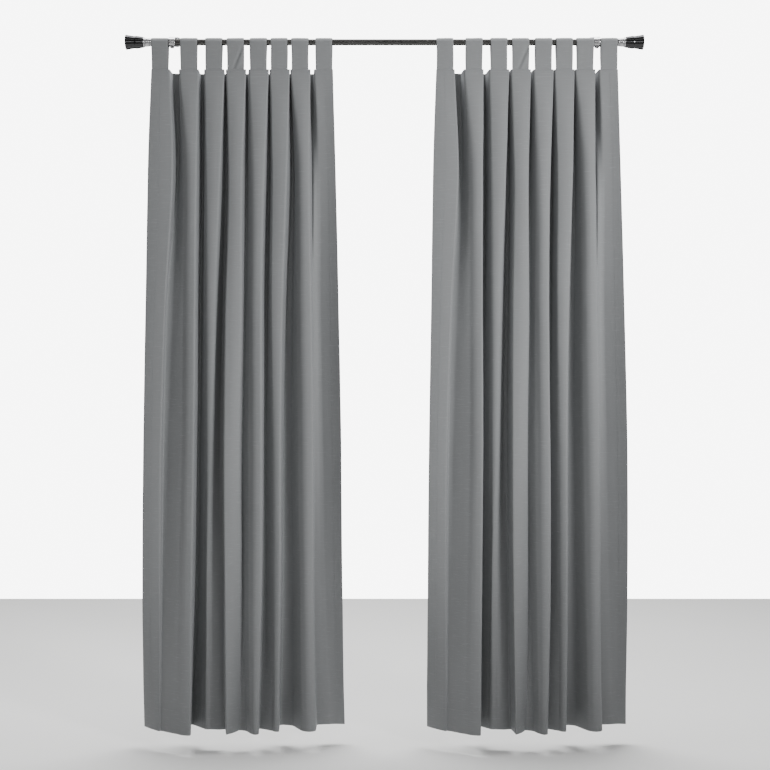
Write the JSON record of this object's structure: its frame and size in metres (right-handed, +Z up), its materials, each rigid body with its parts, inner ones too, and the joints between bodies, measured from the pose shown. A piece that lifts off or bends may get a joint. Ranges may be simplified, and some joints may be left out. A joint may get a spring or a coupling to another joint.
{
  "type": "curtain set on a rod",
  "caption": "Pair of tab-top curtain panels hanging on a wall-mounted rod with flared finials and ring brackets.",
  "frame": {"origin": "point on the wall plane midway between the two brackets, level with the rod's axis", "axes": "+X along the rod to the viewer's right, +Y into the wall, +Z up; the room is on the -Y side"},
  "size_m": [1.598, 0.166, 2.1621],
  "materials": {
    "gunmetal": "dark bronze-grey lacquered steel tube, satin",
    "gloss_black": "gloss black",
    "satin_nickel": "satin nickel plate",
    "zinc": "bright zinc plate",
    "grey_cloth": "mid grey slubbed cloth with a soft sheen"
  },
  "bodies": {
    "rail": {"rod_tube": "gunmetal", "rod_plug_left": "zinc", "rod_plug_right": "zinc", "bracket_flange_left": "satin_nickel", "bracket_arm_left": "satin_nickel", "bracket_ring_left": "satin_nickel", "bracket_flange_right": "satin_nickel", "bracket_arm_right": "satin_nickel", "bracket_ring_right": "satin_nickel", "wall_screw_left_upper": "zinc", "wall_screw_left_lower": "zinc", "wall_screw_right_upper": "zinc", "wall_screw_right_lower": "zinc"},
    "finial_left": {"finial_left": "gloss_black", "finial_collar_left": "satin_nickel", "finial_stud_left": "zinc"},
    "ring_screw_left": {"ring_screw_left": "satin_nickel"},
    "left_curtain_1": {"left_tab_1": "grey_cloth", "left_panel_1": "grey_cloth"},
    "left_curtain_2": {"left_tab_2": "grey_cloth", "left_panel_2": "grey_cloth"},
    "left_curtain_3": {"left_tab_3": "grey_cloth", "left_panel_3": "grey_cloth"},
    "left_curtain_4": {"left_tab_4": "grey_cloth", "left_panel_4": "grey_cloth"},
    "left_curtain_5": {"left_tab_5": "grey_cloth", "left_panel_5": "grey_cloth"},
    "left_curtain_6": {"left_tab_6": "grey_cloth", "left_panel_6": "grey_cloth"},
    "left_curtain_7": {"left_tab_7": "grey_cloth", "left_panel_7": "grey_cloth"},
    "left_curtain_8": {"left_tab_8": "grey_cloth", "left_panel_8": "grey_cloth"},
    "finial_right": {"finial_right": "gloss_black", "finial_collar_right": "satin_nickel", "finial_stud_right": "zinc"},
    "ring_screw_right": {"ring_screw_right": "satin_nickel"},
    "right_curtain_1": {"right_tab_1": "grey_cloth", "right_panel_1": "grey_cloth"},
    "right_curtain_2": {"right_tab_2": "grey_cloth", "right_panel_2": "grey_cloth"},
    "right_curtain_3": {"right_tab_3": "grey_cloth", "right_panel_3": "grey_cloth"},
    "right_curtain_4": {"right_tab_4": "grey_cloth", "right_panel_4": "grey_cloth"},
    "right_curtain_5": {"right_tab_5": "grey_cloth", "right_panel_5": "grey_cloth"},
    "right_curtain_6": {"right_tab_6": "grey_cloth", "right_panel_6": "grey_cloth"},
    "right_curtain_7": {"right_tab_7": "grey_cloth", "right_panel_7": "grey_cloth"},
    "right_curtain_8": {"right_tab_8": "grey_cloth", "right_panel_8": "grey_cloth"}
  },
  "joints": [
    {"name": "finial_pull_left", "type": "slide", "parent": "rail", "child": "finial_left", "axis": [-1, 0, 0], "range_m": [0, 0.03]},
    {"name": "ring_screw_out_left", "type": "slide", "parent": "rail", "child": "ring_screw_left", "axis": [0, 0, -1], "range_m": [0, 0.004]},
    {"name": "left_swing", "type": "hinge", "parent": "rail", "child": "left_curtain_1", "pos_m": [-0.6929, -0.09, 0], "axis": [-1, 0, 0], "range_deg": [-0.4, 20]},
    {"name": "left_draw_2", "type": "slide", "parent": "left_curtain_1", "child": "left_curtain_2", "axis": [1, 0, 0], "range_m": [0, 0.017]},
    {"name": "left_draw_3", "type": "slide", "parent": "left_curtain_2", "child": "left_curtain_3", "axis": [1, 0, 0], "range_m": [0, 0.017]},
    {"name": "left_draw_4", "type": "slide", "parent": "left_curtain_3", "child": "left_curtain_4", "axis": [1, 0, 0], "range_m": [0, 0.017]},
    {"name": "left_draw_5", "type": "slide", "parent": "left_curtain_4", "child": "left_curtain_5", "axis": [1, 0, 0], "range_m": [0, 0.017]},
    {"name": "left_draw_6", "type": "slide", "parent": "left_curtain_5", "child": "left_curtain_6", "axis": [1, 0, 0], "range_m": [0, 0.017]},
    {"name": "left_draw_7", "type": "slide", "parent": "left_curtain_6", "child": "left_curtain_7", "axis": [1, 0, 0], "range_m": [0, 0.017]},
    {"name": "left_draw_8", "type": "slide", "parent": "left_curtain_7", "child": "left_curtain_8", "axis": [1, 0, 0], "range_m": [0, 0.017]},
    {"name": "finial_pull_right", "type": "slide", "parent": "rail", "child": "finial_right", "axis": [1, 0, 0], "range_m": [0, 0.03]},
    {"name": "ring_screw_out_right", "type": "slide", "parent": "rail", "child": "ring_screw_right", "axis": [0, 0, -1], "range_m": [0, 0.004]},
    {"name": "right_swing", "type": "hinge", "parent": "rail", "child": "right_curtain_1", "pos_m": [0.6929, -0.09, 0], "axis": [-1, 0, 0], "range_deg": [-0.4, 20]},
    {"name": "right_draw_2", "type": "slide", "parent": "right_curtain_1", "child": "right_curtain_2", "axis": [-1, 0, 0], "range_m": [0, 0.017]},
    {"name": "right_draw_3", "type": "slide", "parent": "right_curtain_2", "child": "right_curtain_3", "axis": [-1, 0, 0], "range_m": [0, 0.017]},
    {"name": "right_draw_4", "type": "slide", "parent": "right_curtain_3", "child": "right_curtain_4", "axis": [-1, 0, 0], "range_m": [0, 0.017]},
    {"name": "right_draw_5", "type": "slide", "parent": "right_curtain_4", "child": "right_curtain_5", "axis": [-1, 0, 0], "range_m": [0, 0.017]},
    {"name": "right_draw_6", "type": "slide", "parent": "right_curtain_5", "child": "right_curtain_6", "axis": [-1, 0, 0], "range_m": [0, 0.017]},
    {"name": "right_draw_7", "type": "slide", "parent": "right_curtain_6", "child": "right_curtain_7", "axis": [-1, 0, 0], "range_m": [0, 0.017]},
    {"name": "right_draw_8", "type": "slide", "parent": "right_curtain_7", "child": "right_curtain_8", "axis": [-1, 0, 0], "range_m": [0, 0.017]}
  ],
  "couplings": [
    {"joint": "left_draw_3", "follows": "left_draw_2", "ratio": 1},
    {"joint": "left_draw_4", "follows": "left_draw_2", "ratio": 1},
    {"joint": "left_draw_5", "follows": "left_draw_2", "ratio": 1},
    {"joint": "left_draw_6", "follows": "left_draw_2", "ratio": 1},
    {"joint": "left_draw_7", "follows": "left_draw_2", "ratio": 1},
    {"joint": "left_draw_8", "follows": "left_draw_2", "ratio": 1},
    {"joint": "right_draw_3", "follows": "right_draw_2", "ratio": 1},
    {"joint": "right_draw_4", "follows": "right_draw_2", "ratio": 1},
    {"joint": "right_draw_5", "follows": "right_draw_2", "ratio": 1},
    {"joint": "right_draw_6", "follows": "right_draw_2", "ratio": 1},
    {"joint": "right_draw_7", "follows": "right_draw_2", "ratio": 1},
    {"joint": "right_draw_8", "follows": "right_draw_2", "ratio": 1}
  ]
}
